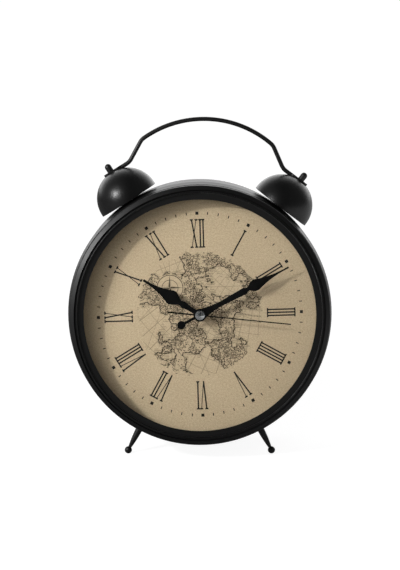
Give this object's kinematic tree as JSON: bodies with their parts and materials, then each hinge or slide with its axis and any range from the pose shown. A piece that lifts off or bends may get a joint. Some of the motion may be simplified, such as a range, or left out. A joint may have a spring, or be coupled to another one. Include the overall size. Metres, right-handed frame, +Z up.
{
  "type": "twin-bell table clock",
  "caption": "Twin-bell table clock with Roman numerals, leaf hands under glass, a rod handle, ball feet and a quartz movement reached from behind.",
  "frame": {"origin": "on the table, below the middle of the clock's bounding box", "axes": "+Z up, dial towards -Y and leaning back, +X to the right seen from the front"},
  "size_m": [0.245, 0.1242, 0.307],
  "materials": {
    "case_black": "satin black paint",
    "bell_black": "soft matte black paint",
    "rod_black": "satin black paint",
    "glass": "clear flat glass",
    "rubber": "soft black rubber",
    "spacer_plastic": "matte black",
    "dial_card": "printed beige linen-grained card",
    "cover_plastic": "fine-grained black",
    "hand_black": "matte black paint",
    "cap_chrome": "polished",
    "movement_plastic": "fine-grained black",
    "wheel_plastic": "moulded ivory",
    "brass": "turned",
    "steel": "zinc plated",
    "copper": "enamelled copper winding",
    "board_green": "solder mask",
    "battery_wrap": "plain printed wrap"
  },
  "bodies": {
    "case": {"case_drum": "case_black", "bezel_ring": "case_black", "dial_ledge": "case_black", "back_ledge": "case_black", "bell_left": "bell_black", "bell_right": "bell_black", "handle": "rod_black", "finial_nuts": "rod_black", "bell_post_left": "rod_black", "bell_post_right": "rod_black", "foot_left": "rod_black", "foot_right": "rod_black", "glass_lens": "glass", "lens_gasket": "rubber", "stem_gasket": "rubber", "spacer_ring": "spacer_plastic", "dial_plate": "dial_card", "back_cover": "cover_plastic", "movement_housing": "movement_plastic", "movement_cover": "movement_plastic", "middle_plate": "movement_plastic", "stem_nut": "brass", "stem_washer": "brass", "back_cover_screws": "steel", "bell_post_nuts": "steel", "foot_nuts": "steel", "stator": "steel", "contact_positive": "steel", "contact_negative": "steel", "quartz_crystal": "steel", "coil": "copper", "circuit_board": "board_green"},
    "hour": {"hour_hand": "hand_black", "hour_wheel": "wheel_plastic"},
    "minute": {"minute_hand": "hand_black", "minute_arbor": "brass"},
    "second": {"second_hand": "hand_black", "hand_cap": "cap_chrome", "second_wheel": "wheel_plastic"},
    "motion": {"motion_wheel": "wheel_plastic"},
    "setting": {"setting_arbor": "wheel_plastic", "setting_knob": "movement_plastic"},
    "third": {"third_wheel": "wheel_plastic"},
    "centre": {"centre_wheel": "wheel_plastic"},
    "transfer": {"transfer_wheel": "wheel_plastic"},
    "rotor": {"rotor": "wheel_plastic", "rotor_magnet": "steel"},
    "battery": {"battery": "battery_wrap"}
  },
  "joints": [
    {"name": "minute_hand_turn", "type": "hinge", "parent": "case", "child": "minute", "pos_m": [0, -0.02337, 0.13176], "axis": [0, 0.9861, -0.1661], "continuous": true},
    {"name": "hour_hand_turn", "type": "hinge", "parent": "case", "child": "hour", "pos_m": [0, -0.02337, 0.13176], "axis": [0, 0.9861, -0.1661], "continuous": true},
    {"name": "motion_wheel_turn", "type": "hinge", "parent": "case", "child": "motion", "pos_m": [-0.0052, -0.02287, 0.13472], "axis": [0, 0.9861, -0.1661], "continuous": true},
    {"name": "setting_knob_turn", "type": "hinge", "parent": "case", "child": "setting", "pos_m": [-0.01039, -0.02237, 0.13768], "axis": [0, 0.9861, -0.1661], "continuous": true},
    {"name": "second_hand_turn", "type": "hinge", "parent": "case", "child": "second", "pos_m": [0, -0.02337, 0.13176], "axis": [0, 0.9861, -0.1661], "continuous": true},
    {"name": "third_wheel_turn", "type": "hinge", "parent": "case", "child": "third", "pos_m": [0.00779, -0.02262, 0.1362], "axis": [0, 0.9861, -0.1661], "continuous": true},
    {"name": "centre_wheel_turn", "type": "hinge", "parent": "case", "child": "centre", "pos_m": [0, -0.02337, 0.13176], "axis": [0, 0.9861, -0.1661], "continuous": true},
    {"name": "transfer_wheel_turn", "type": "hinge", "parent": "case", "child": "transfer", "pos_m": [-0.003, -0.02251, 0.13689], "axis": [0, 0.9861, -0.1661], "continuous": true},
    {"name": "rotor_turn", "type": "hinge", "parent": "case", "child": "rotor", "pos_m": [-0.00562, -0.02175, 0.14137], "axis": [0, 0.9861, -0.1661], "continuous": true},
    {"name": "battery_pull", "type": "slide", "parent": "case", "child": "battery", "axis": [0, 0.9861, -0.1661], "range_m": [0, 0.06]}
  ],
  "couplings": [
    {"joint": "motion_wheel_turn", "follows": "minute_hand_turn", "ratio": -0.33333},
    {"joint": "hour_hand_turn", "follows": "minute_hand_turn", "ratio": 0.083333},
    {"joint": "setting_knob_turn", "follows": "minute_hand_turn", "ratio": 1},
    {"joint": "third_wheel_turn", "follows": "second_hand_turn", "ratio": -0.13333},
    {"joint": "centre_wheel_turn", "follows": "second_hand_turn", "ratio": 0.016667},
    {"joint": "transfer_wheel_turn", "follows": "second_hand_turn", "ratio": -5},
    {"joint": "rotor_turn", "follows": "second_hand_turn", "ratio": 30}
  ]
}
